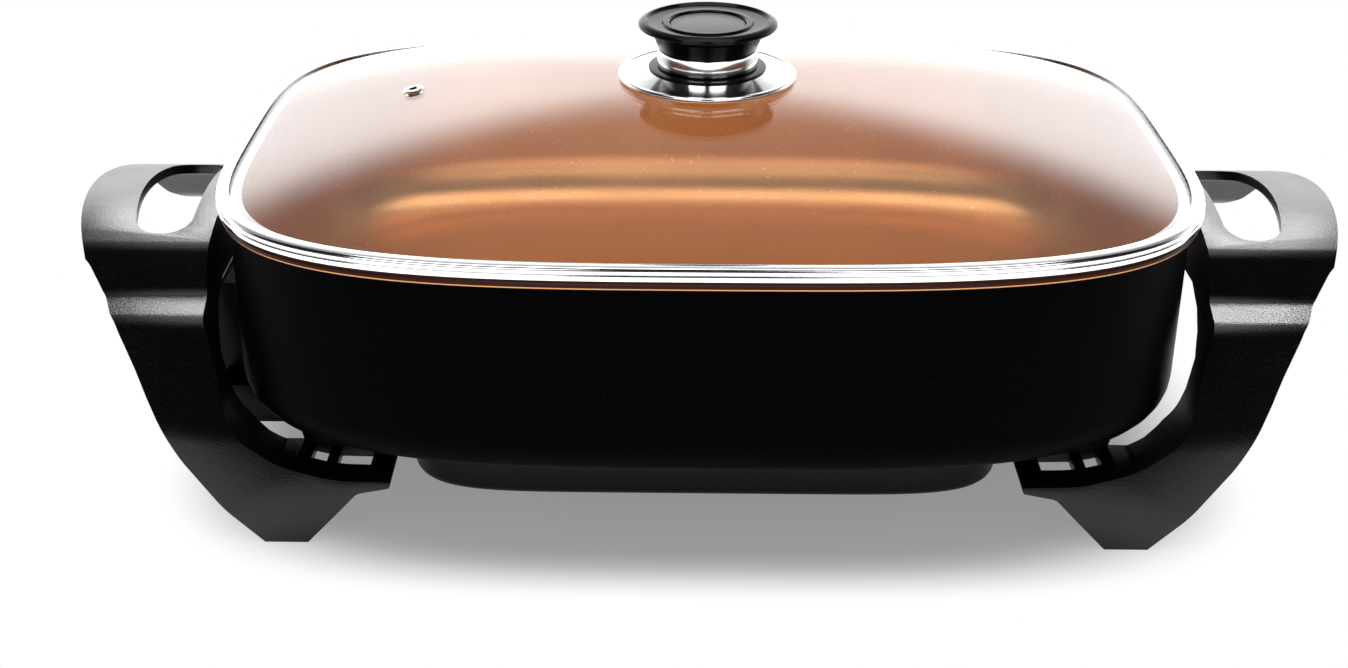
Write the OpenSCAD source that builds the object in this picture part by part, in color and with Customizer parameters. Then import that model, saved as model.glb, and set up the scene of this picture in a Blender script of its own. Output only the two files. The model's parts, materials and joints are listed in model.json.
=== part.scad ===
/* [Pan] */
// Length of the pan across its lip
pan_length = 407; // [360:1:440]
// Depth of the pan across its lip, front to back
pan_width = 293; // [270:1:320]
// Height of the pan's lip above the table
pan_top_z = 134; // [130:1:150]
// Depth of the cooking space, from the lip to the floor
pan_depth = 76; // [60:1:78]
// Height of the casting from its underside to its lip
pan_height = 89.5; // [86:0.5:92]
// How far the side wall stands in from the lip
lip_overhang = 3; // [2:0.5:4]
// Thickness of the side wall
pan_wall = 4.5; // [3.5:0.5:5]
// Radius between the side wall and the underside
base_radius = 19; // [15:1:21]
// Radius between the side wall and the cooking floor
floor_radius = 25; // [18:1:30]
// Thickness of the floor over the heater
floor_thickness = 4; // [3:0.5:5]

/* [Lid] */
// How far the steel rim stands out past the pan's lip
lid_overhang = 1.4; // [0.5:0.1:3]
// Width of the rim's turned top edge
rim_top_width = 5.3; // [4:0.1:7]
// How far the rim's inner skirt hangs into the pan
skirt_drop = 6; // [3:0.5:12]
// Thickness of the glass
glass_thickness = 3; // [2.5:0.1:4]
// Height of the middle of the glass above the rim's underside
dome_height = 33; // [20:1:44]
// Diameter of the steam vent's eyelet
vent_diameter = 9.2; // [7:0.1:12]
// Distance of the steam vent from the lid's middle, along the lid
vent_offset_x = 129; // [90:1:150]
// Distance of the steam vent from the lid's middle, towards the back
vent_offset_y = 8.5; // [0:0.5:40]

/* [Knob] */
// Diameter of the knob's top
knob_diameter = 60; // [50:1:70]
// Diameter of the chrome finger guard under the knob
guard_diameter = 77; // [66:1:90]
// Diameter of the knob's neck
neck_diameter = 43; // [36:1:46]
// Height of the finger guard's middle above the knob's gasket
standoff_height = 2.5; // [2:0.1:6]
// Height of the chrome collar
collar_height = 8.7; // [6:0.1:12]
// Height of the black top above the collar
grip_height = 12.3; // [11:0.1:18]

/* [Handles] */
// Width of the grip, from its inner to its outer edge
grip_width = 62; // [54:0.5:74]
// Distance between the handle and the lid's rim
handle_gap = 7.1; // [5:0.1:9]
// Thickness of the handle moulding
handle_wall = 4.2; // [3:0.1:5]
// Height of the middle of the grip
grip_z = 115; // [112:1:122]
// Length of the grip, front to back
grip_length = 100; // [90:1:114]
// Distance between the outsides of the front and rear feet
foot_spread = 230; // [226:1:236]
// Length of each foot along the table
foot_length = 18; // [14:1:22]
// Length of the finger opening
finger_length = 84; // [76:1:90]
// Width of the finger opening
finger_width = 28; // [24:0.5:30]
// Depth of the skirt between the fingers and the pan
skirt_depth = 28; // [16:1:32]

/* [Heater] */
// Distance between each end of the heater tray and the pan's lip
tray_end_margin = 75; // [68:0.5:84]
// Distance between the front of the heater tray and the pan's lip
tray_side_margin = 45; // [42:0.5:56]
// Height of the heater tray's underside above the table
tray_clearance = 14.5; // [10:0.5:22]
// Diameter of the heating element's sheath
element_diameter = 7; // [6:0.1:8]
// Diameter of the two terminal pins
pin_diameter = 4.75; // [4:0.05:6]
// Distance between the two terminal pins
pin_spacing = 32; // [28:0.5:36]
// Diameter of the temperature sensor's well
well_diameter = 7.2; // [6:0.1:7.4]

/* [Hidden] */

$fn = 64;
seat = 0.3;                  // gap between pieces that rest on each other
slip = 0.1;                  // radial clearance round a pin or a screw
outline_points = 80;         // points round each bowed rectangle
pan_powers = [3.3, 3.9];     // how square the pan's outline is, along its length and its width
tray_powers = [7, 7];

// Pan
half_length = pan_length / 2;
half_width = pan_width / 2;
pan_base_z = pan_top_z - pan_height;
pan_floor_z = pan_top_z - pan_depth;
recess_z = pan_floor_z - floor_thickness;
lip_depth = 3.8;
lip_width = 6.5;
inner_inset = lip_overhang + pan_wall;
floor_draft = 1.5;
flat_inset = lip_overhang + base_radius;

// Bottom fixings
flange_thickness = 1.5;
flange_z = pan_base_z - flange_thickness;
flange_width = 14;           // of the tray's flange at the front and back
tray_wall = 1.8;
tray_corner = 5;
tray_draft = 1.5;
tray_half = [half_length - tray_end_margin, half_width - tray_side_margin];
recess_half = [tray_half[0] - tray_wall, tray_half[1] - tray_wall];
tray_screw = [tray_half[0] - 53.5, tray_half[1] + flange_width / 2 + 1];
tray_screw_radius = 1.8;
tray_screw_head = 3.6;
arm_end_x = tray_half[0] + 2.5;
handle_screw = [arm_end_x + 21, half_width - 76.5];
handle_screw_radius = 2;
handle_screw_head = 4;
screw_bite = 9;              // how far a screw reaches into the casting
head_height = 2.4;

// Heating element and probe
element_radius = element_diameter / 2;
element_z = recess_z - seat - element_radius;
element_half_length = tray_half[0] - 22;
element_half_width = tray_half[1] - 29;
leg_bend = 18;
element_bend = element_half_width - pin_spacing / 2 - leg_bend;
bush_radius = 4.9;
bush_inner_x = half_length - 28.5;
bush_outer_x = half_length - 2.5;
pin_end_x = bush_outer_x + 21;
pin_shank = pin_diameter / 2 - 0.3;
pin_tip = 0.8;
well_radius = well_diameter / 2;
well_wall = 1;
well_z = recess_z - seat - well_radius - well_wall;
well_depth = 110;
well_start_x = bush_outer_x - well_depth - 3;

// Probe guard
guard_wall = 2.5;
guard_half_width = 40;
guard_gap = 0.8;
guard_inner_x = half_length - lip_overhang + guard_gap;
guard_neck_x = guard_inner_x + 10;
guard_clearance = 2;         // between the guard's top and the handle's skirt
guard_outer_x = guard_inner_x + 36;
guard_top_z = grip_z - skirt_depth - guard_clearance;
guard_neck_z = guard_top_z - 3;
guard_front_z = pan_top_z - 62;
guard_low_z = pan_base_z - 18;
guard_flange_z = pan_base_z - guard_wall;
guard_flange_x = half_length - 43.5;
guard_base_x = half_length - 19.5;
guard_base_half = guard_half_width + 18;
window_half_width = pin_spacing / 2 + bush_radius + 2;
window_height = element_z + bush_radius + 2 - pan_base_z;
guard_screw = [half_length - 33.5, 29];
guard_screw_radius = 1.5;
guard_screw_head = 3.2;

// Handles: outline seen from the side, half of it from the middle of the grip to a foot
handle_inner_x = half_length + lid_overhang + handle_gap;
handle_outer_x = handle_inner_x + grip_width;
grip_radius = 150;
grip_half = grip_length / 2;
grip_end_z = grip_z - grip_radius + sqrt(pow(grip_radius, 2) - pow(grip_half, 2));
foot_y = foot_spread / 2;
side_points = [
    [grip_half, grip_end_z], [grip_half + 11, grip_end_z - 17], [grip_half + 30, grip_end_z - 21],
    [foot_y - 25, 68], [foot_y - 10, 47], [foot_y - 2, 12], [foot_y, 0], [foot_y + 3, -19]];
side_radii = [10, 8, 12, 30, 30, 40, 0, 0];

// Handles: outline seen from the front
foot_outer_x = handle_outer_x - 90;
foot_inner_x = foot_outer_x - foot_length;
leg_top_z = grip_z + 20;
leg_outer_points = [
    [handle_outer_x + 20, grip_z + 3], [handle_outer_x - 10.5, grip_z - 13.5],
    [handle_outer_x - 18, grip_end_z - 16.5], [handle_outer_x - 27, grip_end_z - 21.5],
    [handle_outer_x - 42, 58], [handle_outer_x - 56, 35], [handle_outer_x - 73, 14.5],
    [foot_outer_x, 0]];
leg_outer_radii = [0, 15, 8, 10, 0, 60, 60, 0];
arm_low_z = 21;
leg_inner_points = [
    [foot_inner_x, 0], [foot_inner_x - 21, arm_low_z],
    [arm_end_x, arm_low_z + 2.5], [arm_end_x, arm_low_z + 5], [arm_end_x + 24, arm_low_z + 5.5],
    [handle_inner_x - 34, arm_low_z + 11.5], [handle_inner_x - 15, 45],
    [handle_inner_x - 6, 74], [handle_inner_x, grip_end_z - 15.5], [handle_inner_x, leg_top_z]];
leg_inner_radii = [0, 6, 1.5, 1, 60, 40, 24, 0, 20, 0];
flange_shift = [3, -3.4];     // how far the flange's inner face lies from the leg's inner edge
flange_back_y = foot_y - skirt_depth - 7;

// Handles: arms under the pan
arm_top_z = pan_base_z;
arm_front_y = flange_back_y + 2;
arm_back_y = handle_screw[1] - 9;
arm_window_depth = 13;
arm_windows = [[10, 24], [28.5, 35]];    // start and end of each window, from the arm's tip
counterbore_z = arm_low_z + 8;
finger_corner = 0.4 * finger_width;
finger_inner_x = handle_inner_x + 10;

// Lid
lid_half_length = half_length + lid_overhang;
lid_half_width = half_width + lid_overhang;
rim_z = pan_top_z + seat;
rim_sheet = 0.9;
glass_inset = 2.2;
channel_inset = 2;
channel_z = 0.7;
glass_edge_z = rim_z + channel_z;
skirt_inset = 9.4;
dome_power = 2.2;
dome_flat = 0.1;              // share of the glass that is flat, under the knob
glass_top_z = rim_z + dome_height;
glass_edge_top_z = glass_edge_z + glass_thickness;
turn_share = 1 - (rim_top_width - glass_inset) / (lid_half_width - glass_inset);
turn_z = dome_z(turn_share) + slip;
rim_top_z = turn_z + 0.6;
screw_hole_radius = 3.4;
vent_bore = 1.8;
vent_waist = 3;
vent_flange = 1;

// Knob, from the glass upwards
gasket_height = 1.5;
standoff_z = glass_top_z + gasket_height;
guard_sheet = 1.2;
guard_top = standoff_z + standoff_height;
guard_bead = 1.2;
collar_top = guard_top + collar_height;
neck_radius = neck_diameter / 2;
knob_radius = knob_diameter / 2;
knob_top = collar_top + grip_height;
stem_radius = 11.7;
cap_radius = 16;
cap_depth = 3;
cap_height = 1.2;
knob_screw_radius = 2.9;
knob_screw_head = 5.5;
glass_under_z = glass_top_z - glass_thickness;

// Unit vector along v
function unit(v) = v / norm(v);

// Arc of radius r that rounds the corner at b between a and c
function corner(a, b, c, r, steps = 8) =
    let (u = unit(a - b), v = unit(c - b), half = acos(u * v) / 2,
        middle = b + unit(u + v) * r / sin(half),
        from = b + u * r / tan(half) - middle, to = b + v * r / tan(half) - middle,
        start = atan2(from[1], from[0]), turn = atan2(to[1], to[0]) - start,
        sweep = turn > 180 ? turn - 360 : turn < -180 ? turn + 360 : turn)
    [for (i = [0:steps]) middle + r * [cos(start + sweep * i / steps), sin(start + sweep * i / steps)]];

// Points along an arc from angle a0 to a1, without the first one
function arc(middle, r, a0, a1, steps = 8) =
    [for (i = [1:steps])
        let (angle = a0 + (a1 - a0) * i / steps)
        middle + r * [cos(angle), sin(angle)]];

// Points with the corners rounded where a radius is given
function rounded(points, radii) =
    [for (i = [0:len(points) - 1]) each radii[i] > 0 ?
        corner(points[i - 1], points[i], points[i + 1], radii[i]) : [points[i]]];

// Bowed rectangle with half sizes a and b
function bowed(a, b, powers = pan_powers) =
    [for (i = [0:outline_points - 1])
        let (c = cos(360 * i / outline_points), s = sin(360 * i / outline_points))
        [a * sign(c) * pow(abs(c), 2 / powers[0]), b * sign(s) * pow(abs(s), 2 / powers[1])]];

// The rings of a loft, each given as its inset and height
function ring_points(a, b, rings, powers = pan_powers) =
    [for (ring = rings) for (p = bowed(a - ring[0], b - ring[0], powers)) [p[0], p[1], ring[1]]];

function ring_faces(from, to) =
    [for (j = [0:outline_points - 1])
        let (next = (j + 1) % outline_points)
        [from * outline_points + j, to * outline_points + j,
            to * outline_points + next, from * outline_points + next]];

// Solid lofted through rings, closed by its first and last ring
module loft(a, b, rings, powers = pan_powers) {
    last = len(rings) - 1;
    polyhedron(ring_points(a, b, rings, powers), concat(
        [[for (j = [0:outline_points - 1]) j]],
        [for (i = [0:last - 1]) each ring_faces(i, i + 1)],
        [[for (j = [outline_points - 1:-1:0]) last * outline_points + j]]));
}

// Solid hoop whose section is a closed loop of rings
module hoop(a, b, rings) {
    polyhedron(ring_points(a, b, rings),
        [for (i = [0:len(rings) - 1]) each ring_faces(i, (i + 1) % len(rings))]);
}

// Quarter of a rounded edge, as inset and height, from angle a0 to a1
function edge_arc(inset, z, r, a0, a1, steps = 5) =
    [for (i = [0:steps])
        let (angle = a0 + (a1 - a0) * i / steps)
        [inset - r * cos(angle), z + r * sin(angle)]];

// One copy at each of the four signs of x and y
module four(place) {
    for (x = [-1, 1], y = [-1, 1]) translate([x * place[0], y * place[1], 0]) children();
}

// Screw with its head below z, reaching up by length
module screw(z, radius, head, length) {
    translate([0, 0, z - head_height]) cylinder(r = head, h = head_height);
    translate([0, 0, z]) cylinder(r = radius, h = length);
}

// Rod along x between two places, at distance y and height z
module rod(x0, x1, y, z, radius) {
    translate([x0, y, z]) rotate([0, 90, 0]) cylinder(r = radius, h = x1 - x0);
}

// ---- Base ----

module pan_body() {
    loft(half_length, half_width, concat(
        edge_arc(flat_inset, pan_base_z + base_radius, base_radius, -90, 0),
        [[lip_overhang, pan_top_z - lip_depth - 1], [0.6, pan_top_z - lip_depth],
            [0, pan_top_z - 2.8], [0.1, pan_top_z - 1.3], [1.1, pan_top_z - 0.2],
            [2.2, pan_top_z], [lip_width, pan_top_z], [lip_width + 0.8, pan_top_z - 0.8],
            [inner_inset, pan_top_z - 2.5]],
        edge_arc(inner_inset + floor_draft + floor_radius, pan_floor_z + floor_radius,
            floor_radius, 0, -90, 6)));
}

module pan() {
    color("#1b1b1c") difference() {
        pan_body();
        translate([0, 0, pan_base_z - 1]) linear_extrude(recess_z - pan_base_z + 1)
            polygon(bowed(recess_half[0], recess_half[1], tray_powers));
        for (y = [-1, 1])
            rod(-half_length, -recess_half[0] + 1, y * pin_spacing / 2, element_z, bush_radius + slip);
        rod(-half_length, -recess_half[0] + 1, 0, well_z, well_radius + well_wall + slip);
        translate([0, 0, pan_base_z - 1]) {
            four(tray_screw) cylinder(r = tray_screw_radius + slip, h = screw_bite + 2);
            four(handle_screw) cylinder(r = handle_screw_radius + slip, h = screw_bite + 2);
            for (y = [-1, 1]) translate([-guard_screw[0], y * guard_screw[1], 0])
                cylinder(r = guard_screw_radius + slip, h = screw_bite + 2);
        }
    }
}

module heater_tray() {
    color("#1e1e1f") difference() {
        union() {
            translate([0, 0, flange_z]) linear_extrude(flange_thickness) difference() {
                polygon(bowed(tray_half[0] + 1, tray_half[1] + flange_width, tray_powers));
                polygon(bowed(recess_half[0], recess_half[1], tray_powers));
            }
            tray_bowl();
        }
        translate([0, 0, flange_z - 1])
            four(tray_screw) cylinder(r = tray_screw_radius + slip, h = flange_thickness + 2);
    }
}

// Deep part of the tray, open at the top
module tray_bowl() {
    corner_inset = tray_draft + tray_corner;
    corner_z = tray_clearance + tray_corner;
    loft(tray_half[0], tray_half[1], concat(
        edge_arc(corner_inset, corner_z, tray_corner, -90, 0, 4),
        [[0, flange_z + flange_thickness / 2], [tray_wall, flange_z + flange_thickness / 2]],
        edge_arc(corner_inset, corner_z, tray_corner - tray_wall, 0, -90, 4)), tray_powers);
}

module tray_screws() {
    color("#9a9a9c") four(tray_screw)
        screw(flange_z, tray_screw_radius, tray_screw_head, screw_bite + flange_thickness);
}

module quarter_bend(x, y, r, start) {
    translate([x, y, element_z]) rotate([0, 0, start])
        rotate_extrude(angle = 90) translate([r, 0]) circle(r = element_radius);
}

module heating_element() {
    straight_x = element_half_length - element_bend;
    straight_y = element_half_width - element_bend;
    leg_x = element_half_length + leg_bend;
    color("#6e6a66") {
        for (y = [-1, 1]) {
            rod(-straight_x, straight_x, y * element_half_width, element_z, element_radius);
            rod(-bush_inner_x + seat, -leg_x, y * pin_spacing / 2, element_z, element_radius);
        }
        translate([element_half_length, -straight_y, element_z]) rotate([-90, 0, 0])
            cylinder(r = element_radius, h = 2 * straight_y);
        quarter_bend(straight_x, straight_y, element_bend, 0);
        quarter_bend(straight_x, -straight_y, element_bend, -90);
        quarter_bend(-straight_x, straight_y, element_bend, 90);
        quarter_bend(-straight_x, -straight_y, element_bend, 180);
        quarter_bend(-leg_x, pin_spacing / 2 + leg_bend, leg_bend, -90);
        quarter_bend(-leg_x, -pin_spacing / 2 - leg_bend, leg_bend, 0);
    }
}

module terminal_pin(side) {
    color("#c9c9cc") difference() {
        union() {
            rod(-pin_end_x, -bush_outer_x - seat, side * pin_spacing / 2, element_z, pin_diameter / 2);
            rod(-bush_outer_x - seat, -bush_inner_x, side * pin_spacing / 2, element_z, pin_shank);
        }
        translate([-pin_end_x, side * pin_spacing / 2, element_z]) rotate([0, -90, 0])
            rotate_extrude() translate([pin_diameter / 2, 0]) circle(r = pin_tip);
    }
}

module terminal_bush(side) {
    color("#eceae4") difference() {
        rod(-bush_outer_x, -bush_inner_x, side * pin_spacing / 2, element_z, bush_radius);
        rod(-bush_outer_x - 1, -bush_inner_x + 1, side * pin_spacing / 2, element_z, pin_shank + slip);
    }
}

module sensor_well() {
    color("#b9babd") difference() {
        rod(-bush_outer_x, -well_start_x, 0, well_z, well_radius + well_wall);
        rod(-bush_outer_x - 1, -bush_outer_x + well_depth, 0, well_z, well_radius);
    }
}

module guard_side() {
    polygon([[-guard_inner_x, guard_flange_z], [-guard_inner_x, guard_top_z],
        [-guard_neck_x, guard_top_z], [-guard_neck_x, guard_neck_z],
        [-guard_outer_x, guard_front_z], [-guard_outer_x, guard_low_z],
        [-guard_neck_x, guard_low_z]]);
}

module guard_room() {
    back_x = guard_inner_x + guard_wall;
    polygon([[-back_x, guard_flange_z + guard_wall], [-back_x, guard_neck_z - guard_wall],
        [-guard_neck_x, guard_neck_z - guard_wall], [-guard_outer_x, guard_front_z - guard_wall],
        [-guard_outer_x - 5, guard_front_z - guard_wall],
        [-guard_outer_x - 5, guard_low_z + guard_wall],
        [-guard_neck_x + 1, guard_low_z + guard_wall]]);
}

// Wide box under the end of the pan, its faces moved inwards by inset
module guard_base(inset, top_z) {
    translate([-guard_neck_x + inset, inset - guard_base_half, guard_low_z + inset])
        cube([guard_neck_x - guard_base_x - 2 * inset, 2 * (guard_base_half - inset),
            top_z - guard_low_z - inset]);
}

module probe_guard() {
    color("#141415") difference() {
        union() {
            rotate([90, 0, 0]) linear_extrude(2 * guard_half_width, center = true) guard_side();
            translate([-guard_inner_x - 1, -guard_half_width, guard_flange_z])
                cube([guard_inner_x + 1 - guard_flange_x, 2 * guard_half_width, guard_wall]);
            guard_base(0, guard_flange_z + guard_wall);
        }
        rotate([90, 0, 0])
            linear_extrude(2 * (guard_half_width - guard_wall), center = true) guard_room();
        guard_base(guard_wall, guard_flange_z);
        translate([-guard_neck_x, -window_half_width, guard_flange_z + guard_wall])
            cube([guard_neck_x - guard_inner_x + 1, 2 * window_half_width, window_height]);
        for (y = [-1, 1]) translate([-guard_screw[0], y * guard_screw[1], guard_flange_z - 1])
            cylinder(r = guard_screw_radius + slip, h = guard_wall + 2);
    }
}

module guard_screws() {
    color("#9a9a9c") for (y = [-1, 1]) translate([-guard_screw[0], y * guard_screw[1], 0])
        screw(guard_flange_z, guard_screw_radius, guard_screw_head, screw_bite + guard_wall);
}

// Side view of a handle, from the rear feet over the grip to the front feet
crown_points = [for (i = [0:7])
    let (y = grip_half * i / 9)
    [y, grip_z - grip_radius + sqrt(pow(grip_radius, 2) - y * y)]];
rest_points = rounded(concat([crown_points[7]], side_points), concat([0], side_radii));
half_path = concat(crown_points, [for (i = [1:len(rest_points) - 1]) rest_points[i]]);
side_path = concat([for (i = [len(half_path) - 1:-1:1]) [-half_path[i][0], half_path[i][1]]], half_path);

// The path moved inwards by distance d
function inward(path, d) =
    [for (i = [0:len(path) - 1])
        let (t = unit(path[min(i + 1, len(path) - 1)] - path[max(i - 1, 0)]))
        path[i] + d * [-t[1], t[0]] * -1];

module arch() {
    polygon(side_path);
}

module arch_band() {
    inner = inward(side_path, handle_wall);
    polygon(concat(side_path, [for (i = [len(inner) - 1:-1:0]) inner[i]]));
}

// Side view of the flange: the arch without the room behind it
module flange_band() {
    y = flange_back_y;
    half = [[grip_half - skirt_depth / 2, grip_z - skirt_depth], [y - 27, 82.6], [y - 15, 77],
        [y - 5, 69.5], [y, 58], [y, 43], [y + 5, 37], [y + 5, 33], [y, 30.5], [y, -25]];
    difference() {
        arch();
        polygon(concat(half, [for (i = [len(half) - 1:-1:0]) [-half[i][0], half[i][1]]]));
    }
}

module leg_outline() {
    polygon(concat(rounded(leg_inner_points, leg_inner_radii), rounded(leg_outer_points, leg_outer_radii)));
}

// Flange along the inner edge of the leg, seen from the front
module flange_outline() {
    intersection() {
        difference() {
            leg_outline();
            translate(flange_shift) leg_outline();
        }
        square([handle_inner_x + 10, leg_top_z]);
    }
}

// Finger opening seen from above: its outer side follows the grip's bow
module finger_slot() {
    outer_x = finger_inner_x + finger_width;
    corner_y = finger_length / 2 - finger_corner;
    bow_angle = asin(corner_y / (grip_radius - finger_corner));
    corner_x = outer_x - grip_radius + (grip_radius - finger_corner) * cos(bow_angle);
    half = concat([[outer_x, 0]],
        arc([outer_x - grip_radius, 0], grip_radius, 0, bow_angle),
        arc([corner_x, corner_y], finger_corner, bow_angle, 90),
        [[finger_inner_x + finger_corner, finger_length / 2]],
        arc([finger_inner_x + finger_corner, corner_y], finger_corner, 90, 180));
    polygon(concat(half, [for (i = [len(half) - 1:-1:1]) [half[i][0], -half[i][1]]]));
}

// Arm behind the flange that carries the pan on a screw, front one
module arm() {
    difference() {
        translate([0, -arm_back_y, 0]) rotate([90, 0, 0]) linear_extrude(arm_front_y - arm_back_y)
            polygon([[arm_end_x, arm_low_z + 2.5], [arm_end_x, arm_top_z - 2],
                [arm_end_x + 2, arm_top_z], [handle_screw[0] + 12, arm_top_z],
                [handle_screw[0] + 20, arm_top_z - 9], [handle_screw[0] + 18, arm_low_z + 6],
                [arm_end_x + 24, arm_low_z + 2]]);
        translate([handle_screw[0], -handle_screw[1], 0]) {
            cylinder(r = handle_screw_radius + slip, h = arm_top_z + 1);
            cylinder(r = handle_screw_head + 1, h = counterbore_z);
        }
    }
}

// Windows through the flange in front of the arm
module arm_openings() {
    for (window = arm_windows) translate([arm_end_x + window[0], -arm_front_y - arm_window_depth, arm_low_z - 5])
        cube([window[1] - window[0], arm_window_depth, 20]);
}

// Right-hand handle, the left one is its mirror image
module handle() {
    difference() {
        union() {
            intersection() {
                rotate([90, 0, 90]) linear_extrude(handle_outer_x + 1) arch_band();
                rotate([90, 0, 0]) linear_extrude(foot_spread + 20, center = true) leg_outline();
                translate([handle_outer_x - grip_radius, 0, 0])
                    cylinder(r = grip_radius, h = grip_z + 1, $fn = 128);
            }
            intersection() {
                rotate([90, 0, 90]) linear_extrude(handle_outer_x) flange_band();
                rotate([90, 0, 0]) linear_extrude(foot_spread, center = true) flange_outline();
            }
            for (y = [0, 1]) mirror([0, y, 0]) arm();
        }
        for (y = [0, 1]) mirror([0, y, 0]) arm_openings();
        translate([0, 0, grip_end_z - 15]) linear_extrude(40) finger_slot();
    }
}

module handle_left() {
    color("#222224") mirror([1, 0, 0]) handle();
}

module handle_right() {
    color("#222224") handle();
}

module handle_screws() {
    color("#9a9a9c") four(handle_screw)
        screw(counterbore_z, handle_screw_radius, handle_screw_head, screw_bite + pan_base_z - counterbore_z);
}

// ---- Lid ----

module lid_rim() {
    z = rim_z;
    color("#d5d6d8") hoop(lid_half_length, lid_half_width, [
        [1.2, z], [0.3, z + 0.6], [0, z + 1.7], [0.5, z + 2.5], [0.5, z + 2.8], [0.1, z + 3.6],
        [0.4, rim_top_z - 0.9], [1.5, rim_top_z - 0.1], [3.2, rim_top_z],
        [rim_top_width, rim_top_z - 0.2], [rim_top_width, turn_z],
        [channel_inset, turn_z], [channel_inset, z + channel_z],
        [skirt_inset + 1, z + channel_z], [skirt_inset + rim_sheet, z - skirt_drop + 0.4],
        [skirt_inset + 0.5, z - skirt_drop], [skirt_inset, z - skirt_drop + 0.4],
        [skirt_inset, z]]);
}

// Height of the glass dome where the outline has shrunk to the share k
function dome_z(k) = glass_edge_top_z + (glass_top_z - glass_edge_top_z)
    * (1 - pow(k, dome_power)) / (1 - pow(dome_flat, dome_power));

dome_shares = [1, 0.94, 0.86, 0.76, 0.64, 0.5, 0.36, 0.22, dome_flat];
glass_half = [lid_half_length - glass_inset, lid_half_width - glass_inset];

// Rings of the dome, lowered by drop, as shares of the outline
function dome_points(shares, drop) =
    [for (k = shares) for (p = bowed(glass_half[0] * k, glass_half[1] * k)) [p[0], p[1], dome_z(k) - drop]];

guard_edge_radius = guard_diameter / 2 - guard_bead;
guard_edge_z = dome_z(guard_diameter / 2 / glass_half[0]) + seat + guard_bead;

vent_share = vent_offset_x / glass_half[0];
vent_slope = atan((glass_top_z - glass_edge_top_z) * dome_power
    * pow(vent_share, dome_power - 1) / glass_half[0]);

module at_vent() {
    translate([-vent_offset_x, vent_offset_y, dome_z(vent_share)]) rotate([0, -vent_slope, 0]) children();
}

module lid_glass() {
    shares_up = [for (i = [len(dome_shares) - 1:-1:0]) dome_shares[i]];
    count = 2 * len(dome_shares);
    color("#c8d6d8", 0.4) difference() {
        polyhedron(concat(dome_points(shares_up, glass_thickness), dome_points(dome_shares, 0)), concat(
            [[for (j = [0:outline_points - 1]) j]],
            [for (i = [0:count - 2]) each ring_faces(i, i + 1)],
            [[for (j = [outline_points - 1:-1:0]) (count - 1) * outline_points + j]]));
        translate([0, 0, glass_under_z - 5]) cylinder(r = screw_hole_radius, h = 15);
        at_vent() cylinder(r = vent_waist + slip, h = 20, center = true);
    }
}

module steam_vent() {
    top = vent_diameter / 2;
    color("#cfd0d2") at_vent() rotate_extrude() polygon([
        [vent_bore, -glass_thickness - 0.8], [top - 0.4, -glass_thickness - 0.8],
        [top - 0.4, -glass_thickness - 0.4], [vent_waist, -glass_thickness - 0.4], [vent_waist, 0.3],
        [top, 0.3], [top - 0.2, 0.3 + vent_flange * 0.6], [top - 0.8, 0.3 + vent_flange],
        [vent_bore + 0.8, 0.3 + vent_flange], [vent_bore, 0.3 + vent_flange * 0.3]]);
}

// Flat ring round the knob's screw
module ring(z, height, radius) {
    translate([0, 0, z]) difference() {
        cylinder(r = radius, h = height);
        translate([0, 0, -1]) cylinder(r = knob_screw_radius + slip, h = height + 2);
    }
}

module knob_gasket() {
    color("#2a2a2c") ring(glass_top_z, gasket_height, 14);
}

module knob_standoff() {
    color("#b9babd") ring(standoff_z, standoff_height - guard_sheet, 12);
}

module knob_guard() {
    flat = neck_radius + 3;
    color("#d5d6d8") rotate_extrude($fn = 96) union() {
        polygon([
            [knob_screw_radius + slip, guard_top - guard_sheet], [flat, guard_top - guard_sheet],
            [guard_edge_radius, guard_edge_z - guard_sheet / 2],
            [guard_edge_radius, guard_edge_z + guard_sheet / 2],
            [flat, guard_top], [knob_screw_radius + slip, guard_top]]);
        translate([guard_edge_radius, guard_edge_z]) circle(r = guard_bead, $fn = 24);
    }
}

module knob_collar() {
    color("#d5d6d8") translate([0, 0, guard_top]) rotate_extrude($fn = 96) polygon([
        [stem_radius + seat, 0], [neck_radius + 0.6, 0], [neck_radius + 0.6, 0.8],
        [neck_radius - 1, 1.4], [neck_radius - 1, collar_height - 4.4],
        [neck_radius - 0.2, collar_height - 4], [neck_radius + 0.3, collar_height - 3],
        [neck_radius + 0.3, collar_height - 1], [neck_radius, collar_height],
        [stem_radius + seat, collar_height]]);
}

module knob_grip() {
    cap_floor = knob_top - cap_depth;
    color("#151516") rotate_extrude($fn = 96) polygon([
        [knob_screw_radius + slip, guard_top], [stem_radius, guard_top], [stem_radius, collar_top],
        [neck_radius - 0.4, collar_top], [neck_radius + 0.2, collar_top + 1.5],
        [neck_radius + 1.3, collar_top + 4], [neck_radius + 2.5, collar_top + 6.8],
        [neck_radius + 3.6, knob_top - 3.6], [knob_radius - 0.8, knob_top - 3],
        [knob_radius, knob_top - 2.2], [knob_radius - 0.4, knob_top - 1.1],
        [knob_radius - 1.8, knob_top - 0.3],
        [knob_radius - 3.2, knob_top], [knob_radius - 4.4, knob_top - 1.2],
        [cap_radius + 3.6, knob_top - 1.6], [cap_radius + 3, knob_top - 0.8],
        [cap_radius + 0.9, knob_top - 0.8], [cap_radius + seat, knob_top - 1.4],
        [cap_radius + seat, cap_floor], [knob_screw_radius + slip, cap_floor]]);
}

module knob_cap() {
    color("#5c5d60") translate([0, 0, knob_top - cap_depth]) rotate_extrude($fn = 96) polygon([
        [0, 0], [cap_radius, 0], [cap_radius, cap_height - 0.4], [cap_radius - 0.6, cap_height], [0, cap_height]]);
}

module lower_gasket() {
    color("#2a2a2c") ring(glass_under_z - 1, 1, 11);
}

module lower_washer() {
    color("#b9babd") ring(glass_under_z - 2, 1, 9.5);
}

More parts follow.
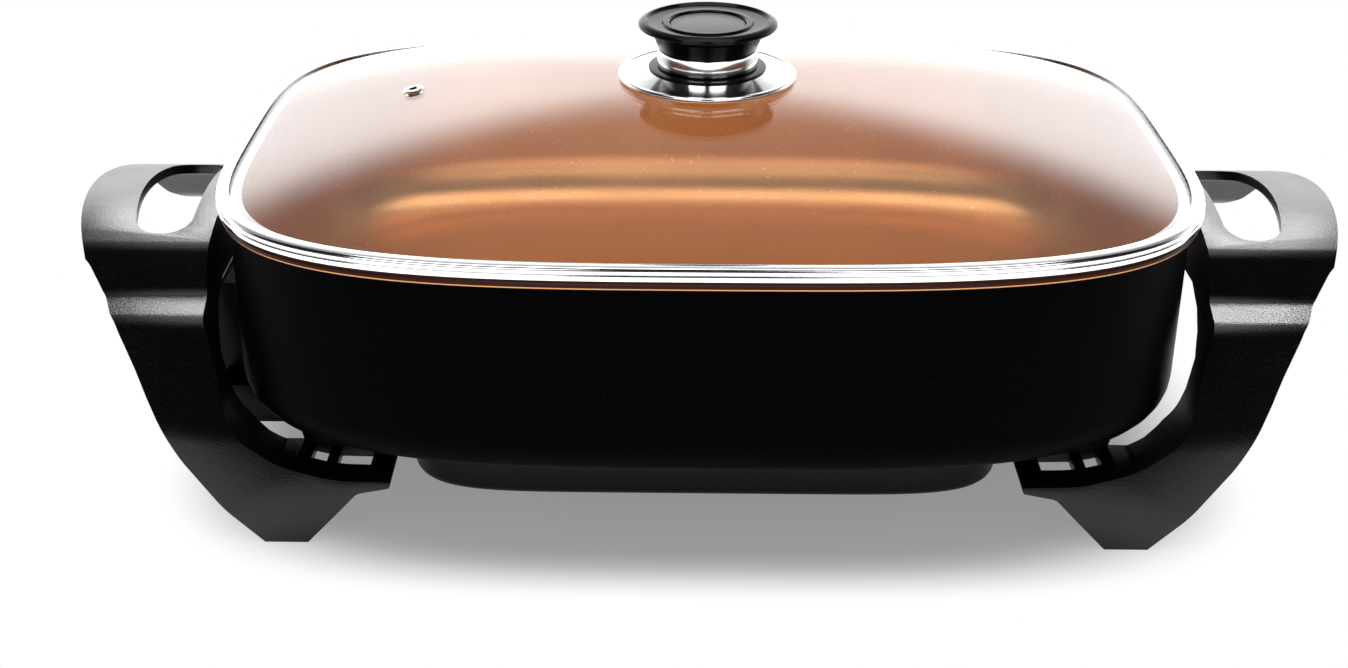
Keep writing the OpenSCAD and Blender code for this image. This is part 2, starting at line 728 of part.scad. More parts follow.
module knob_screw() {
    color("#b9babd") {
        translate([0, 0, glass_under_z - 2 - head_height])
            cylinder(r1 = knob_screw_head - 1, r2 = knob_screw_head, h = head_height);
        translate([0, 0, glass_under_z - 2])
            cylinder(r = knob_screw_radius, h = knob_top - cap_depth - glass_under_z + 1);
    }
}

pan();
heater_tray();
tray_screws();
heating_element();
terminal_pin(-1);  // terminal_pin_front
terminal_pin(1);  // terminal_pin_rear
terminal_bush(-1);  // terminal_bush_front
terminal_bush(1);  // terminal_bush_rear
sensor_well();
probe_guard();
guard_screws();
handle_left();
handle_right();
handle_screws();
lid_glass();
lid_rim();
steam_vent();
knob_gasket();
knob_standoff();
knob_guard();
knob_collar();
knob_grip();
knob_cap();
lower_gasket();
lower_washer();
knob_screw();
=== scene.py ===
import json
import math
import bpy
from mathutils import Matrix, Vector

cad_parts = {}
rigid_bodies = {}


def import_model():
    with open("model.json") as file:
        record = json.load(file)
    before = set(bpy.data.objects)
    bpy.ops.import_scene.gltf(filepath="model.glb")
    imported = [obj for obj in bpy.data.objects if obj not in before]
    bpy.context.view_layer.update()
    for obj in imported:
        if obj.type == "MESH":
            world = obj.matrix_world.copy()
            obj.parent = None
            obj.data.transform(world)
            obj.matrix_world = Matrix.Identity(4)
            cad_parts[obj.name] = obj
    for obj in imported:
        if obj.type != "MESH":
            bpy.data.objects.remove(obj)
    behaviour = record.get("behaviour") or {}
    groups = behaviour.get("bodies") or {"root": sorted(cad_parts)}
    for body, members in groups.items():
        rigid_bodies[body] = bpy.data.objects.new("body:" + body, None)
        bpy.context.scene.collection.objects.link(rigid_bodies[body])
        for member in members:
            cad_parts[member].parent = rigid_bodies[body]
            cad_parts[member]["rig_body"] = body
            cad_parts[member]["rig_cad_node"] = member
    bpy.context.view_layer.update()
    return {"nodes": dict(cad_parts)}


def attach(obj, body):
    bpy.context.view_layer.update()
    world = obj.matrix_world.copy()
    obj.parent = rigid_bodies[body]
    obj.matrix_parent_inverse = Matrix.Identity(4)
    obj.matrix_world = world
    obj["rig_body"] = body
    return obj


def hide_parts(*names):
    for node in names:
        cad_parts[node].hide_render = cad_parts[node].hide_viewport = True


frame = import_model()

cad_nodes = frame["nodes"]

# Pan: a bowed rectangular aluminium casting, sprayed black and speckled outside, with a copper coloured
# non-stick coat inside and over its lip. The lip's outside is painted dark maroon as painted shade under
# the lid's rim, above a thin line left in the coat's own colour. One skin goes from the heater recess round
# the base, up the side, over the lip and down to the cooking floor. Sizes are in millimetres until a piece
# is finished.
MM = 0.001
PAN_HALF = (203.5, 146.5)
PAN_BOWS = (3.3, 3.9)
PAN_TOP = 134
PAN_BASE = 44.5
PAN_FLOOR = 58
SIDE_INSET = 3
BASE_INSET = 42
BASE_RADIUS = 19
LIP_LOW = 129.3
LIP_EDGE_LOW = 130.4
LIP_WIDTH = 7.5
# Lowest height of the painted shade on the lip's outside; the thin copper line below it keeps the coat's
# own colour.
LIP_SHADE_LOW = 131.15
COPPER_LINE_LOW = 130.75
COPPER_LOW = 57
WALL_MIDDLE = 5.2
FLOOR_INSETS = (9.6, 60, 90, 120)
FLOOR_RADIUS = 25
RECESS_HALF = (126.7, 99.7)
RECESS_TOP = 54
RECESS_LOW = PAN_BASE + 0.1
RECESS_MARGIN = 0.5
TRAY_BOWS = (7, 7)
OUTLINE_STEPS = 4000
SEAM_GAP = 0.00001


def nothing_selected():
    if bpy.context.object and bpy.context.object.mode == "EDIT":
        bpy.ops.object.mode_set(mode="OBJECT")
    bpy.ops.object.select_all(action="DESELECT")


def select_only(piece):
    nothing_selected()
    piece.select_set(True)
    bpy.context.view_layer.objects.active = piece


def open_for_editing(piece):
    select_only(piece)
    bpy.ops.object.mode_set(mode="EDIT")
    bpy.ops.mesh.select_mode(type="VERT")
    bpy.ops.mesh.select_all(action="DESELECT")


def smooth(piece, degrees=40):
    select_only(piece)
    bpy.ops.object.shade_smooth_by_angle(angle=math.radians(degrees))


def join_pieces(pieces):
    nothing_selected()
    for piece in pieces:
        piece.select_set(True)
    bpy.context.view_layer.objects.active = pieces[0]
    bpy.ops.object.join()
    return pieces[0]


def name_piece(piece, name):
    piece.name = name
    piece.data.name = name


def rounded(corners, steps=6):
    """Corner points (x, y, radius) as a smooth run of points."""
    run = []
    for i, (x, y, radius) in enumerate(corners):
        here = Vector((x, y))
        if radius == 0 or i == 0 or i == len(corners) - 1:
            run.append((x, y))
            continue
        back = (Vector(corners[i - 1][:2]) - here).normalized()
        on = (Vector(corners[i + 1][:2]) - here).normalized()
        half = back.angle(on) / 2
        middle = here + (back + on).normalized() * radius / math.sin(half)
        start = here + back * radius / math.tan(half) - middle
        end = here + on * radius / math.tan(half) - middle
        turn = start.angle_signed(end)
        for step in range(steps + 1):
            angle = -turn * step / steps
            c, s = math.cos(angle), math.sin(angle)
            run.append((middle.x + start.x * c - start.y * s, middle.y + start.x * s + start.y * c))
    return run


def bowed_outline(half, bows, count=160):
    """Points round a bowed rectangle, set closest where it turns most."""
    fine = []
    for i in range(OUTLINE_STEPS):
        turn = math.tau * i / OUTLINE_STEPS
        c, s = math.cos(turn), math.sin(turn)
        fine.append(Vector((math.copysign(abs(c) ** (2 / bows[0]), c) * half[0],
                            math.copysign(abs(s) ** (2 / bows[1]), s) * half[1])))
    around = sum((fine[i] - fine[i - 1]).length for i in range(OUTLINE_STEPS))
    walk = [0]
    for i in range(OUTLINE_STEPS):
        last = fine[i] - fine[i - 1]
        stride = fine[(i + 1) % OUTLINE_STEPS] - fine[i]
        walk.append(walk[-1] + stride.length / around + abs(last.angle_signed(stride)) / math.tau)
    points = []
    j = 0
    for i in range(count):
        goal = walk[-1] * i / count
        while walk[j + 1] < goal:
            j += 1
        share = (goal - walk[j]) / (walk[j + 1] - walk[j])
        points.append(fine[j].lerp(fine[(j + 1) % OUTLINE_STEPS], share))
    return points


def bowed_loft(name, half, bows, rings, start_filled=False, end_filled=False, joined=False):
    """Skin through rings (inset along, inset across, height), each drawn out of the one before."""
    first = rings[0]
    outline = bowed_outline(half, bows)
    nothing_selected()
    bpy.ops.mesh.primitive_circle_add(vertices=len(outline), radius=1, fill_type="NOTHING")
    piece = bpy.context.object
    name_piece(piece, name)
    for corner, place in zip(piece.data.vertices, outline):
        corner.co = (place.x * (half[0] - first[0]) / half[0] * MM,
                     place.y * (half[1] - first[1]) / half[1] * MM, first[2] * MM)
    open_for_editing(piece)
    bpy.ops.mesh.select_all(action="SELECT")
    if start_filled:
        bpy.ops.mesh.edge_face_add()
    last = first
    for ring in rings[1:]:
        bpy.ops.mesh.extrude_edges_move(
            TRANSFORM_OT_translate={"value": (0, 0, (ring[2] - last[2]) * MM)})
        drawn_in = ((half[0] - ring[0]) / (half[0] - last[0]), (half[1] - ring[1]) / (half[1] - last[1]), 1)
        bpy.ops.transform.resize(value=drawn_in, center_override=(0, 0, 0))
        last = ring
    if end_filled:
        bpy.ops.mesh.edge_face_add()
    bpy.ops.mesh.select_all(action="SELECT")
    if joined:
        bpy.ops.mesh.remove_doubles(threshold=SEAM_GAP)
    bpy.ops.mesh.normals_make_consistent(inside=False)
    bpy.ops.object.mode_set(mode="OBJECT")
    return piece


def same_insets(profile):
    return [(inset, inset, height) for inset, height in profile]


pan_profile = rounded([
    (BASE_INSET, PAN_BASE, 0), (SIDE_INSET, PAN_BASE, BASE_RADIUS), (SIDE_INSET, LIP_LOW, 1),
    (0, LIP_EDGE_LOW, 1.2), (0, PAN_TOP, 1.9), (LIP_WIDTH, PAN_TOP, 1.6),
    (FLOOR_INSETS[0], PAN_FLOOR, FLOOR_RADIUS), (FLOOR_INSETS[1], PAN_FLOOR, 0)], steps=8)
pan_profile += [(inset, PAN_FLOOR) for inset in FLOOR_INSETS[2:]]
pan_skin = bowed_loft("pan_skin", PAN_HALF, PAN_BOWS, same_insets(pan_profile), end_filled=True)
pan_recess = bowed_loft("pan_recess", RECESS_HALF, TRAY_BOWS,
                        same_insets([(0, RECESS_TOP), (0, PAN_BASE)]), start_filled=True)
cast_pan = join_pieces([pan_skin, pan_recess])
cast_pan.name = "cast_pan"
open_for_editing(cast_pan)
bpy.ops.mesh.select_mode(type="EDGE")
bpy.ops.mesh.select_non_manifold()
bpy.ops.mesh.bridge_edge_loops()
bpy.ops.mesh.select_all(action="SELECT")
bpy.ops.mesh.normals_make_consistent(inside=False)
bpy.ops.object.mode_set(mode="OBJECT")


def set_inputs(node, values):
    for socket, value in values.items():
        node.inputs[socket].default_value = value


def add_node(tree, kind, values=None, **settings):
    """New shader node with its settings and the values of its sockets."""
    node = tree.nodes.new("ShaderNode" + kind)
    for setting, value in settings.items():
        setattr(node, setting, value)
    set_inputs(node, values or {})
    return node


def remapped(tree, source, span, goal=(0, 1), soft=False):
    """Output that goes over the goal while the source goes over its span."""
    node = add_node(tree, "MapRange", {"From Min": span[0], "From Max": span[1],
                                       "To Min": goal[0], "To Max": goal[1]})
    if soft:
        node.interpolation_type = "SMOOTHSTEP"
    tree.links.new(source, node.inputs["Value"])
    return node.outputs["Result"]


def blank_finish(name):
    """New material, its node tree and the shader in it."""
    finish = bpy.data.materials.new(name)
    finish.use_nodes = True
    return finish, finish.node_tree, finish.node_tree.nodes["Principled BSDF"]


# Speckle and grain of a sprayed or moulded surface: its height, its bright flecks and a slow cloudiness
SLOW_CLOUDS = 14
CLOUD_SPAN = (0.3, 0.7)
ROUGHNESS_DRIFT = 0.05
surface_grain = bpy.data.node_groups.new("surface grain", "ShaderNodeTree")
for socket, value in (("Grains per metre", 900), ("Fleck from", 0.6), ("Fleck to", 0.7)):
    made = surface_grain.interface.new_socket(socket, in_out="INPUT", socket_type="NodeSocketFloat")
    made.default_value = value
for socket in ("Height", "Fleck", "Cloud"):
    surface_grain.interface.new_socket(socket, in_out="OUTPUT", socket_type="NodeSocketFloat")
given = surface_grain.nodes.new("NodeGroupInput")
result = surface_grain.nodes.new("NodeGroupOutput")
on_piece = add_node(surface_grain, "TexCoord")
fine_noise = add_node(surface_grain, "TexNoise", {"Detail": 3, "Roughness": 0.6})
slow_noise = add_node(surface_grain, "TexNoise", {"Scale": SLOW_CLOUDS, "Detail": 4})
fleck_range = add_node(surface_grain, "MapRange")
for output, goal in (
        (on_piece.outputs["Object"], fine_noise.inputs["Vector"]),
        (on_piece.outputs["Object"], slow_noise.inputs["Vector"]),
        (given.outputs["Grains per metre"], fine_noise.inputs["Scale"]),
        (given.outputs["Fleck from"], fleck_range.inputs["From Min"]),
        (given.outputs["Fleck to"], fleck_range.inputs["From Max"]),
        (fine_noise.outputs["Fac"], fleck_range.inputs["Value"]),
        (fine_noise.outputs["Fac"], result.inputs["Height"]),
        (fleck_range.outputs["Result"], result.inputs["Fleck"]),
        (slow_noise.outputs["Fac"], result.inputs["Cloud"])):
    surface_grain.links.new(output, goal)


def grained_finish(name, dark, light, grains, flecks, bump, rough, metallic=0.0, mirror=0.5):
    """Finish whose colour goes from dark to light in its flecks, with the same grain as its bump."""
    finish, tree, shader = blank_finish(name)
    grain = add_node(tree, "Group", {"Grains per metre": grains, "Fleck from": flecks[0],
                                     "Fleck to": flecks[1]}, node_tree=surface_grain)
    tint = add_node(tree, "Mix", {"A": (*dark, 1), "B": (*light, 1)}, data_type="RGBA")
    tree.links.new(grain.outputs["Fleck"], tint.inputs["Factor"])
    tree.links.new(tint.outputs["Result"], shader.inputs["Base Color"])
    drift = (rough - ROUGHNESS_DRIFT, rough + ROUGHNESS_DRIFT)
    tree.links.new(remapped(tree, grain.outputs["Cloud"], CLOUD_SPAN, drift), shader.inputs["Roughness"])
    relief = add_node(tree, "Bump", {"Strength": 1, "Distance": bump * MM})
    tree.links.new(grain.outputs["Height"], relief.inputs["Height"])
    tree.links.new(relief.outputs["Normal"], shader.inputs["Normal"])
    set_inputs(shader, {"Metallic": metallic, "Specular IOR Level": mirror})
    return finish


black_enamel = grained_finish(
    "black_enamel", dark=(0.0004, 0.0004, 0.0004), light=(0.024, 0.024, 0.025),
    grains=2000, flecks=(0.63, 0.82), bump=0.06, rough=0.42, mirror=0.01)
copper_coat = grained_finish(
    "copper_coat", dark=(0.58, 0.275, 0.105), light=(0.95, 0.74, 0.5),
    grains=900, flecks=(0.66, 0.72), bump=0.02, rough=0.33, metallic=0.88)
# Painted shade: a dark maroon on the lip's outside, far darker than the copper coat, stands for the shade
# under the lid's rim.
lip_painted_shade = grained_finish(
    "lip_painted_shade", dark=(0.03, 0.006, 0.003), light=(0.06, 0.016, 0.01),
    grains=900, flecks=(0.68, 0.76), bump=0.02, rough=0.33, mirror=0.1)
bare_casting = grained_finish(
    "bare_casting", dark=(0.42, 0.42, 0.43), light=(0.55, 0.55, 0.56),
    grains=600, flecks=(0.4, 0.7), bump=0.15, rough=0.55, metallic=0.9)


def inside_outline(place, half, bows, inset):
    return (abs(place.x / MM / (half[0] - inset)) ** bows[0]
            + abs(place.y / MM / (half[1] - inset)) ** bows[1]) < 1


pan_finishes = [black_enamel, copper_coat, bare_casting, lip_painted_shade]
for finish in pan_finishes:
    cast_pan.data.materials.append(finish)
for face in cast_pan.data.polygons:
    height = face.center.z / MM
    if height > COPPER_LOW and inside_outline(face.center, PAN_HALF, PAN_BOWS, WALL_MIDDLE):
        face.material_index = pan_finishes.index(copper_coat)
    # Painted shade on the lip's outside; the thin band under it keeps the copper coat and shows as a light
    # line.
    elif height > LIP_SHADE_LOW:
        face.material_index = pan_finishes.index(lip_painted_shade)
    elif height > COPPER_LINE_LOW:
        face.material_index = pan_finishes.index(copper_coat)
    elif height > RECESS_LOW and inside_outline(face.center, RECESS_HALF, TRAY_BOWS, -RECESS_MARGIN):
        face.material_index = pan_finishes.index(bare_casting)
smooth(cast_pan)
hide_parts("pan")
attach(cast_pan, "cooker")

# Heating element and its terminals: a steel sheathed rod clamped in the recess, nickel plated pins in two
# ceramic bushes, and the steel tube that takes the probe. They stay as they are and get their finishes.
sheath = grained_finish(
    "heat_stained_sheath", dark=(0.20, 0.17, 0.15), light=(0.36, 0.30, 0.26),
    grains=300, flecks=(0.35, 0.7), bump=0.05, rough=0.42, metallic=1)
nickel = grained_finish(
    "nickel_plate", dark=(0.62, 0.61, 0.58), light=(0.72, 0.71, 0.69),
    grains=500, flecks=(0.4, 0.7), bump=0.02, rough=0.22, metallic=1)
ceramic = grained_finish(
    "white_ceramic", dark=(0.76, 0.74, 0.69), light=(0.84, 0.83, 0.79),
    grains=700, flecks=(0.4, 0.7), bump=0.05, rough=0.6)
zinc = grained_finish(
    "zinc_plate", dark=(0.50, 0.50, 0.51), light=(0.62, 0.62, 0.64),
    grains=500, flecks=(0.4, 0.7), bump=0.03, rough=0.35, metallic=1)


def refinish(finish, *names):
    for name in names:
        cad_nodes[name].data.materials.clear()
        cad_nodes[name].data.materials.append(finish)


refinish(sheath, "heating_element")
refinish(nickel, "terminal_pin_front", "terminal_pin_rear")
refinish(ceramic, "terminal_bush_front", "terminal_bush_rear")
refinish(zinc, "sensor_well")

# Heater tray: a deep drawn sheet bowl in black enamel that covers the element. Its skin goes from the
# middle of the bottom up the outside, out into the flange, back over it and down the inside.
TRAY_HALF = (128.5, 101.5)
TRAY_LOW = 14.5
TRAY_SHEET = 1.8
TRAY_TAPER = 1.5
TRAY_BOTTOM_INSET = 40
FLANGE_LOW = 43
FLANGE_INSETS = (-1, -14)
tray_outside = rounded([
    (TRAY_BOTTOM_INSET, TRAY_LOW, 0), (TRAY_TAPER, TRAY_LOW, 5), (0, FLANGE_LOW, 0)])
tray_inside = rounded([
    (TRAY_SHEET, PAN_BASE, 0), (TRAY_TAPER + TRAY_SHEET, TRAY_LOW + TRAY_SHEET, 3.2),
    (TRAY_BOTTOM_INSET, TRAY_LOW + TRAY_SHEET, 0)])
tray_flange = [(*FLANGE_INSETS, FLANGE_LOW), (*FLANGE_INSETS, PAN_BASE)]
heater_bowl = bowed_loft("heater_bowl", TRAY_HALF, TRAY_BOWS,
                         same_insets(tray_outside) + tray_flange + same_insets(tray_inside),
                         start_filled=True, end_filled=True)
tray_enamel = grained_finish(
    "tray_enamel", dark=(0.002, 0.002, 0.0021), light=(0.035, 0.035, 0.036),
    grains=2000, flecks=(0.58, 0.8), bump=0.05, rough=0.4, mirror=0.18)
heater_bowl.data.materials.append(tray_enamel)
smooth(heater_bowl)
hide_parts("heater_tray")
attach(heater_bowl, "cooker")

# Probe guard: a hood moulded in black plastic round the socket of the probe, screwed under the pan. It
# starts as a copy of its plain shape, and gets clean flat sides and rounded edges.
HOOD_EDGE = 0.6
SHARP_EDGE = 35
SAME_PLACE = 0.000001


def moulding(name, node, edge):
    """The node's own shape with flat sides in one face each and its edges rounded."""
    select_only(cad_nodes[node])
    bpy.ops.object.duplicate()
    piece = bpy.context.object
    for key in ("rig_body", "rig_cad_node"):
        if key in piece:
            del piece[key]
    piece.parent = None
    name_piece(piece, name)
    piece.data.materials.clear()
    open_for_editing(piece)
    bpy.ops.mesh.select_all(action="SELECT")
    bpy.ops.mesh.customdata_custom_splitnormals_clear()
    bpy.ops.mesh.remove_doubles(threshold=SAME_PLACE)
    bpy.ops.mesh.dissolve_limited(angle_limit=math.radians(1))
    bpy.ops.object.mode_set(mode="OBJECT")
    rounding = piece.modifiers.new("edges", "BEVEL")
    rounding.width = edge * MM
    rounding.segments = 3
    rounding.limit_method = "ANGLE"
    rounding.angle_limit = math.radians(SHARP_EDGE)
    rounding.use_clamp_overlap = True
    bpy.ops.object.modifier_apply(modifier="edges")
    smooth(piece, SHARP_EDGE)
    return piece


plug_guard = moulding("plug_guard", "probe_guard", HOOD_EDGE)
guard_plastic = grained_finish(
    "guard_plastic", dark=(0.001, 0.001, 0.001), light=(0.003, 0.003, 0.0031),
    grains=1500, flecks=(0.5, 0.7), bump=0.02, rough=0.3, mirror=0.08)
plug_guard.data.materials.append(guard_plastic)
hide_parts("probe_guard")
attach(plug_guard, "cooker")

# Handles: one black plastic moulding at each end, with the finger hole, the leg and its two feet in one.
# The grain is fine and satin, and the edges are softly rounded, as the guard's are.
HANDLE_EDGE = 0.9
handle_plastic = grained_finish(
    "handle_plastic", dark=(0.003, 0.003, 0.003), light=(0.014, 0.014, 0.0142),
    grains=1300, flecks=(0.5, 0.7), bump=0.11, rough=0.32, mirror=0.33)
for side in ("left", "right"):
    grip = moulding("grip_" + side, "handle_" + side, HANDLE_EDGE)
    grip.data.materials.append(handle_plastic)
    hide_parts("handle_" + side)
    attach(grip, "cooker")

# Screws: zinc plated pan head screws with a cross recess hold the tray, the guard and the handles to the
# casting. One is turned and cut for each size, then copied to its places.
HEAD_HEIGHT = 2.4
TIP = 0.6
RECESS_WIDTH = 0.8
RECESS_DEPTH = 1.2
HOOD_TAB_LOW = 42
HANDLE_PAD_LOW = 29


def turned(name, profile, steps=96):
    """Closed profile (radius, height) spun round the upright axis."""
    nothing_selected()
    bpy.ops.mesh.primitive_circle_add(vertices=len(profile), radius=1, fill_type="NOTHING")
    piece = bpy.context.object
    name_piece(piece, name)
    for corner, (radius, height) in zip(piece.data.vertices, profile):
        corner.co = (radius * MM, 0, height * MM)
    open_for_editing(piece)
    bpy.ops.mesh.select_all(action="SELECT")
    bpy.ops.mesh.spin(steps=steps, angle=math.tau, center=(0, 0, 0), axis=(0, 0, 1))
    bpy.ops.mesh.select_all(action="SELECT")
    bpy.ops.mesh.remove_doubles(threshold=SAME_PLACE)
    bpy.ops.mesh.dissolve_degenerate(threshold=SAME_PLACE)
    bpy.ops.mesh.delete_loose()
    bpy.ops.mesh.select_all(action="SELECT")
    bpy.ops.mesh.normals_make_consistent(inside=False)
    bpy.ops.object.mode_set(mode="OBJECT")
    return piece


def cross_screw(name, head, shank, length):
    """Upside down screw: its head from height 0 up, then the shank and a short point."""
    end = HEAD_HEIGHT + length
    profile = rounded([
        (0, 0, 0), (head * 0.7, 0, 1), (head, HEAD_HEIGHT * 0.5, 0.8), (head, HEAD_HEIGHT, 0.2),
        (shank, HEAD_HEIGHT, 0), (shank, end - TIP, 0), (shank - TIP, end, 0), (0, end, 0)], steps=4)
    piece = turned(name, profile, steps=32)
    for turn in (0, math.pi / 2):
        nothing_selected()
        bpy.ops.mesh.primitive_cube_add(size=1, rotation=(0, 0, turn))
        blade = bpy.context.object
        blade.scale = (head * 1.1 * MM, RECESS_WIDTH * MM, 2 * RECESS_DEPTH * MM)
        select_only(blade)
        bpy.ops.object.transform_apply(location=False, rotation=True, scale=True)
        select_only(piece)
        cut = piece.modifiers.new("recess", "BOOLEAN")
        cut.operation = "DIFFERENCE"
        cut.solver = "EXACT"
        cut.object = blade
        bpy.ops.object.modifier_apply(modifier="recess")
        bpy.data.objects.remove(blade)
    return piece


def placed_copies(master, places, name):
    """One joined piece of copies of the master, each moved to its place."""
    copies = []
    for place in places:
        select_only(master)
        bpy.ops.object.duplicate()
        copy = bpy.context.object
        copy.location = [value * MM for value in place]
        copies.append(copy)
    bpy.data.objects.remove(master)
    row = join_pieces(copies)
    bpy.ops.object.transform_apply(location=True, rotation=True, scale=True)
    name_piece(row, name)
    return row


def four_places(along, across):
    return [(x, y) for x in (-along, along) for y in (-across, across)]


for name, node, head, shank, length, seat, places in (
        ("tray_fixings", "tray_screws", 3.6, 1.8, 10.5, FLANGE_LOW, four_places(75, 109.5)),
        ("guard_fixings", "guard_screws", 3.2, 1.5, 11.5, HOOD_TAB_LOW, [(-170, -29), (-170, 29)]),
        ("handle_fixings", "handle_screws", 4, 2, 24.5, HANDLE_PAD_LOW, four_places(152, 70))):
    screw = cross_screw(name + "_one", head, shank, length)
    screws = placed_copies(screw, [(x, y, seat - HEAD_HEIGHT) for x, y in places], name)
    screws.data.materials.append(zinc)
    smooth(screws, SHARP_EDGE)
    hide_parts(node)
    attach(screws, "cooker")

# Lid glass: a clear tempered pane bowed into a low dome, three millimetres thick, that sits in the rim's
# channel. Its skin starts under the middle, goes out round the edge and closes over the middle.
GLASS_HALF = (202.7, 145.7)
GLASS_EDGE = 138
GLASS_TOP = 167.3
GLASS_THICK = 3
DOME_POWER = 2.2
DOME_FLAT = 0.1
DOME_STEP = 0.04
DOME_RINGS = 25


def dome_height(share):
    rise = (1 - share ** DOME_POWER) / (1 - DOME_FLAT ** DOME_POWER)
    return GLASS_EDGE + (GLASS_TOP - GLASS_EDGE) * rise


def dome_rings(shares, drop):
    return [(GLASS_HALF[0] * (1 - share), GLASS_HALF[1] * (1 - share),
             min(dome_height(share), GLASS_TOP) - drop) for share in shares]


def mixed(tree, share, first, second):
    """Shader that goes from the first to the second with the share."""
    node = add_node(tree, "MixShader")
    tree.links.new(share, node.inputs["Fac"])
    tree.links.new(first, node.inputs[1])
    tree.links.new(second, node.inputs[2])
    return node.outputs["Shader"]


dome_shares = [1 - DOME_STEP * i for i in range(DOME_RINGS)]
pane = bowed_loft("dome_pane", GLASS_HALF, PAN_BOWS,
                  dome_rings(reversed(dome_shares), GLASS_THICK) + dome_rings(dome_shares, 0),
                  start_filled=True, end_filled=True)
clear_glass, tree, shader = blank_finish("clear_glass")
set_inputs(shader, {"Base Color": (1, 1, 1, 1), "Transmission Weight": 1, "IOR": 1.5})
smear = add_node(tree, "Group", {"Grains per metre": 40}, node_tree=surface_grain)
film = remapped(tree, smear.outputs["Cloud"], span=(0.55, 0.8), goal=(0, 0.04))
tree.links.new(film, shader.inputs["Roughness"])
clear = add_node(tree, "BsdfTransparent")
rays = add_node(tree, "LightPath")
light_let_in = mixed(tree, rays.outputs["Is Shadow Ray"], shader.outputs["BSDF"], clear.outputs["BSDF"])
tree.links.new(light_let_in, tree.nodes["Material Output"].inputs["Surface"])
pane.data.materials.append(clear_glass)
smooth(pane, degrees=50)
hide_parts("lid_glass")
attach(pane, "lid")

# Lid rim: a bright steel strip rolled round the glass, with a groove along its outside and a thin skirt
# that hangs inside the pan's lip. Its section is drawn round the outline and closed on itself.
LID_HALF = (204.9, 147.9)
RIM_LOW = 134.3
RIM_TOP = 140.06
RIM_FOLD = 139.46
SEAM_INSET = 4
FOLD_INSET = 5.3
GROOVE_DEPTH = 0.7
GROOVE_LOW = RIM_LOW + 2.6
GROOVE_MIDDLE = RIM_LOW + 2.95
GROOVE_HIGH = RIM_LOW + 3.3
CHANNEL_INSET = 2
CHANNEL_LOW = RIM_LOW + 0.7
SKIRT_OUTSIDE = 9.4
SKIRT_INSIDE = 10.4
SKIRT_LOW = RIM_LOW - 6
rim_section = rounded([
    (SEAM_INSET, RIM_LOW, 0), (0.2, RIM_LOW, 0.9), (0, GROOVE_LOW, 0.8), (GROOVE_DEPTH, GROOVE_MIDDLE, 0.2),
    (0.1, GROOVE_HIGH, 0.4), (0.1, RIM_TOP, 1.6), (FOLD_INSET, RIM_TOP, 0.25), (FOLD_INSET, RIM_FOLD, 0.1),
    (CHANNEL_INSET, RIM_FOLD, 0), (CHANNEL_INSET, CHANNEL_LOW, 0), (SKIRT_INSIDE, CHANNEL_LOW, 0.3),
    (SKIRT_INSIDE, SKIRT_LOW, 0.4), (SKIRT_OUTSIDE, SKIRT_LOW, 0.4), (SKIRT_OUTSIDE, RIM_LOW, 0.2),
    (SEAM_INSET, RIM_LOW, 0)], steps=5)
rim = bowed_loft("rolled_rim", LID_HALF, PAN_BOWS, same_insets(rim_section), joined=True)
polished_steel = grained_finish(
    "polished_steel", dark=(0.86, 0.86, 0.87), light=(0.93, 0.93, 0.94),
    grains=260, flecks=(0.4, 0.7), bump=0.004, rough=0.1, metallic=1)
rim.data.materials.append(polished_steel)
smooth(rim, SHARP_EDGE)
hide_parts("lid_rim")
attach(rim, "lid")

# Steam vent: a small turned steel eyelet pressed through a hole in the glass, with a rounded head over it
# and a flange under it. It stands square to the dome where it sits.
VENT_PLACE = (-129, 8.5)
VENT_BORE = 1.8
VENT_NECK = 3
VENT_FLANGE = 4.2
VENT_HEAD = 4.6
VENT_LOW = -3.8
HEAD_LOW = 0.3
vent_share = -VENT_PLACE[0] / GLASS_HALF[0]
dome_fall = (GLASS_TOP - GLASS_EDGE) * DOME_POWER * vent_share ** (DOME_POWER - 1)
vent_slope = math.atan(dome_fall / GLASS_HALF[0])
vent_profile = rounded([
    (VENT_BORE, VENT_LOW, 0), (VENT_FLANGE, VENT_LOW, 0.15), (VENT_FLANGE, VENT_LOW + 0.4, 0.1),
    (VENT_NECK, VENT_LOW + 0.4, 0), (VENT_NECK, HEAD_LOW, 0), (VENT_HEAD, HEAD_LOW, 0.1),
    (VENT_HEAD, HEAD_LOW + 1, 0.6), (2.4, HEAD_LOW + 1, 0.5), (VENT_BORE, 0.4, 0)], steps=4)
vent = turned("vent_eyelet", vent_profile, steps=64)
vent.rotation_euler = (0, -vent_slope, 0)
vent.location = (VENT_PLACE[0] * MM, VENT_PLACE[1] * MM, dome_height(vent_share) * MM)
select_only(vent)
bpy.ops.object.transform_apply(location=True, rotation=True, scale=True)
vent.data.materials.append(polished_steel)
smooth(vent, SHARP_EDGE)
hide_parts("steam_vent")
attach(vent, "lid")

# Knob's seat: a zinc plated tube stands on a silicone gasket on the glass, and one screw with a washer and
# a gasket under the glass holds the stack. They stay as they are and get their finishes.
silicone = grained_finish(
    "dark_silicone", dark=(0.03, 0.03, 0.032), light=(0.05, 0.05, 0.052),
    grains=900, flecks=(0.4, 0.7), bump=0.03, rough=0.6)
refinish(silicone, "knob_gasket", "lower_gasket")
refinish(zinc, "lower_washer", "knob_screw", "knob_standoff")

